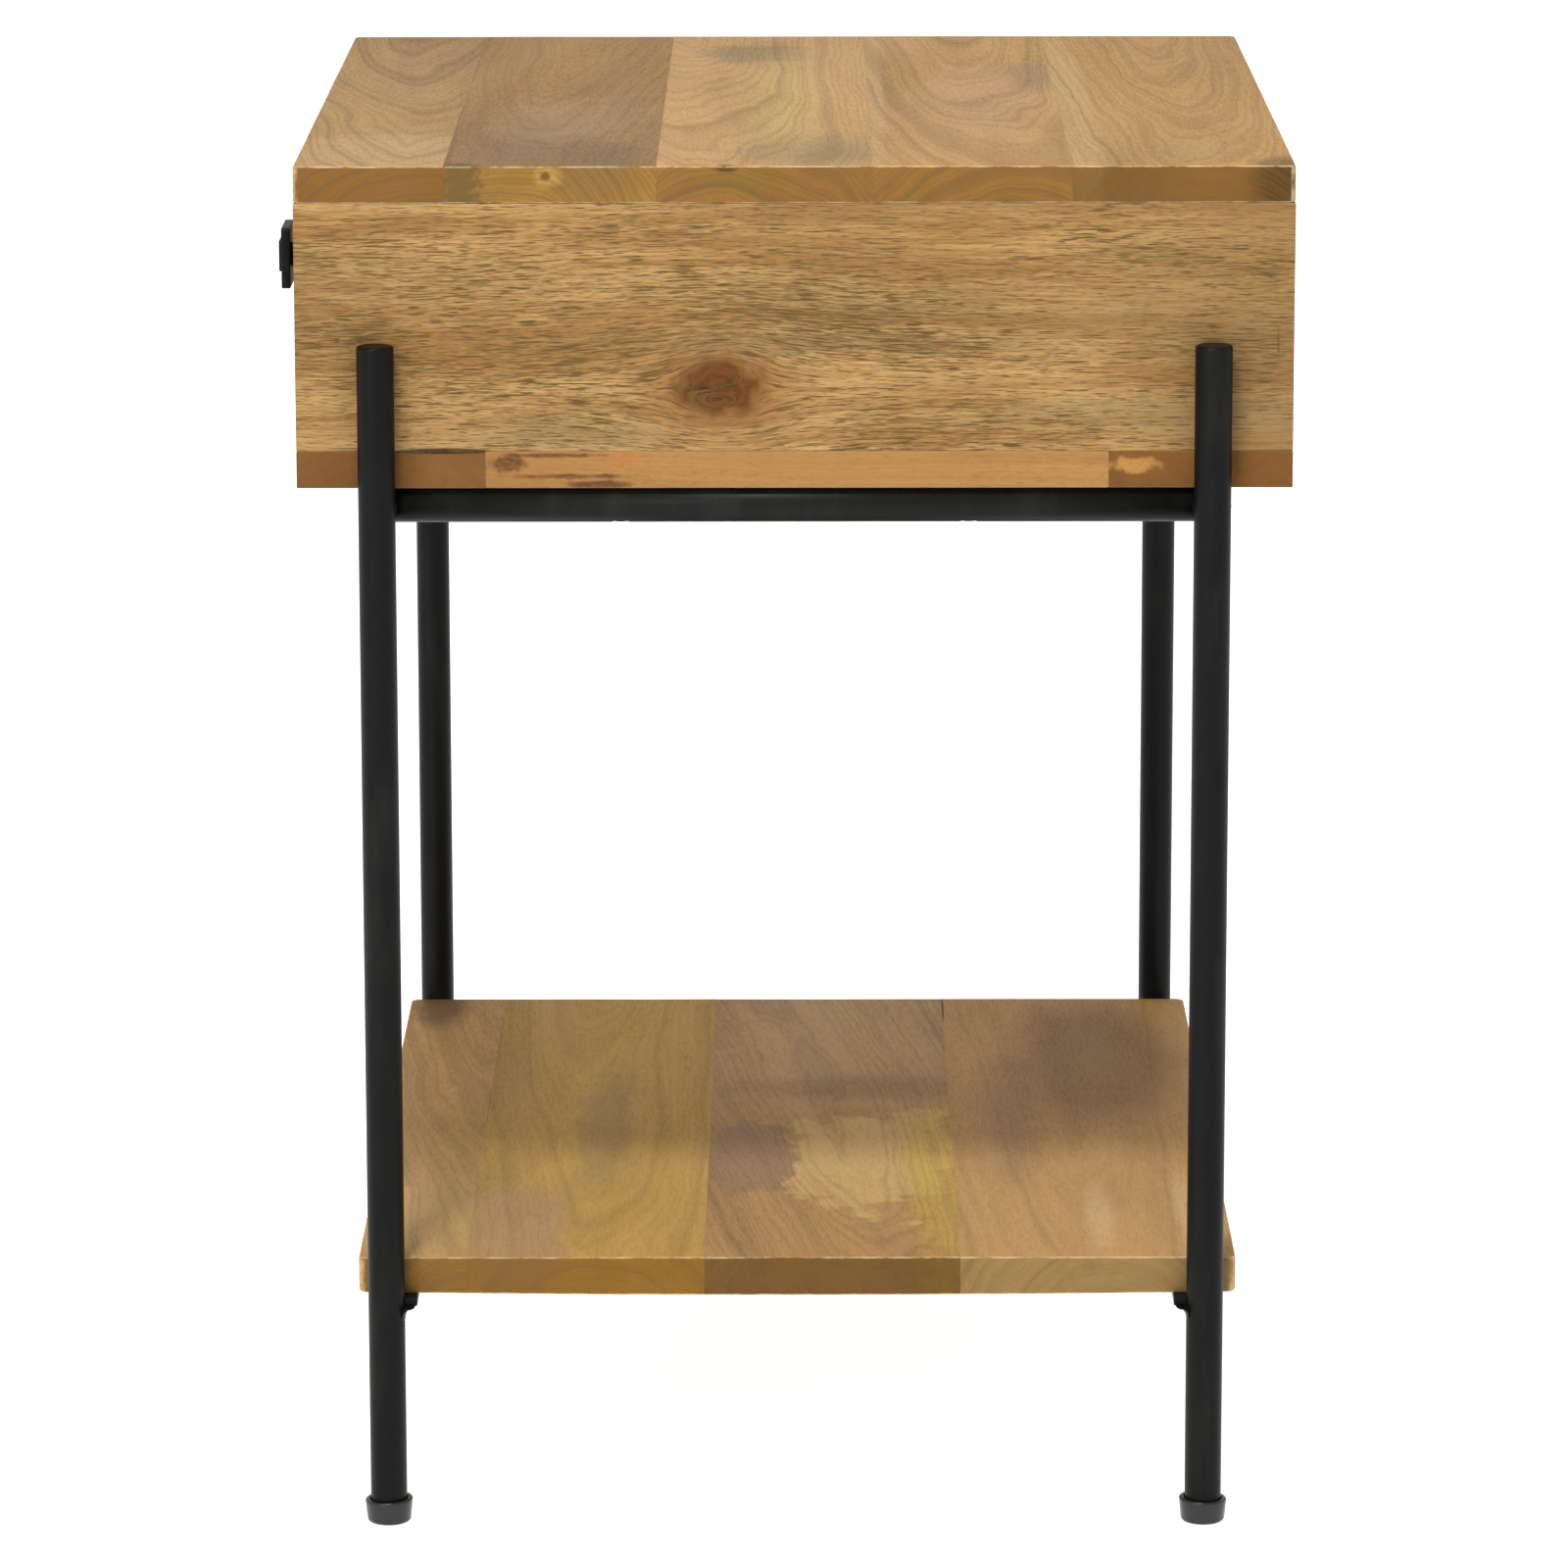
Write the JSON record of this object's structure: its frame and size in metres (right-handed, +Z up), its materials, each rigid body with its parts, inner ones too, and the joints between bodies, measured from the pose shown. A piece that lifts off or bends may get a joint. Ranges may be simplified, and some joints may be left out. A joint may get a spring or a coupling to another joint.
{
  "type": "side table with drawer",
  "caption": "Wooden side table with a drawer under the top and a lower shelf, carried by four round black steel legs outside the case.",
  "frame": {"origin": "on the floor, in the middle of the whole table's box, knob included", "axes": "+Z up, the drawer opens along -Y, +X is the right side of somebody who faces the drawer"},
  "size_m": [0.4846, 0.4206, 0.56],
  "materials": {
    "board_wood": "oiled, open pored boards glued side by side",
    "case_wood": "oiled, open pored, coarse long grain",
    "inner_wood": "plain sanded hardwood",
    "plywood": "sanded thin plywood",
    "black_steel": "matt black powder coat",
    "zinc_steel": "zinc plated",
    "foot_plastic": "matt black moulded plastic"
  },
  "bodies": {
    "table": {"back_panel": "case_wood", "bottom_rail_front": "case_wood", "bottom_rail_left": "case_wood", "bottom_rail_rear": "case_wood", "bottom_rail_right": "case_wood", "case_bolts": "zinc_steel", "case_dowels": "inner_wood", "case_washers": "zinc_steel", "drawer_guide_left": "inner_wood", "drawer_guide_right": "inner_wood", "drawer_rear_stops": "inner_wood", "dust_panel": "plywood", "foot_cap_front_left": "foot_plastic", "foot_cap_front_right": "foot_plastic", "foot_cap_rear_left": "foot_plastic", "foot_cap_rear_right": "foot_plastic", "frame_dowels": "inner_wood", "leg_end_plates": "black_steel", "leg_front_left": "black_steel", "leg_front_right": "black_steel", "leg_inserts": "zinc_steel", "leg_rear_left": "black_steel", "leg_rear_right": "black_steel", "pull_out_stop": "inner_wood", "rail_screws": "zinc_steel", "rail_welds": "black_steel", "shelf_lug_front_left": "black_steel", "shelf_lug_front_right": "black_steel", "shelf_lug_rear_left": "black_steel", "shelf_lug_rear_right": "black_steel", "shelf_screws": "zinc_steel", "shelf_stave_1": "board_wood", "shelf_stave_2": "board_wood", "shelf_stave_3": "board_wood", "shelf_stave_4": "board_wood", "side_panel_left": "case_wood", "side_panel_right": "case_wood", "side_rail_left": "black_steel", "side_rail_right": "black_steel", "top_stave_1": "board_wood", "top_stave_2": "board_wood", "top_stave_3": "board_wood", "top_stave_4": "board_wood", "top_stave_5": "board_wood"},
    "drawer": {"drawer_back": "inner_wood", "drawer_back_screws": "zinc_steel", "drawer_bottom": "plywood", "drawer_dowels": "inner_wood", "drawer_front": "case_wood", "drawer_side_left": "inner_wood", "drawer_side_right": "inner_wood", "knob_plate": "black_steel", "knob_screw": "zinc_steel", "knob_stem": "black_steel", "knob_washer": "zinc_steel"}
  },
  "joints": [
    {"name": "drawer_slide", "type": "slide", "parent": "table", "child": "drawer", "axis": [0, -1, 0], "range_m": [0, 0.27]}
  ]
}
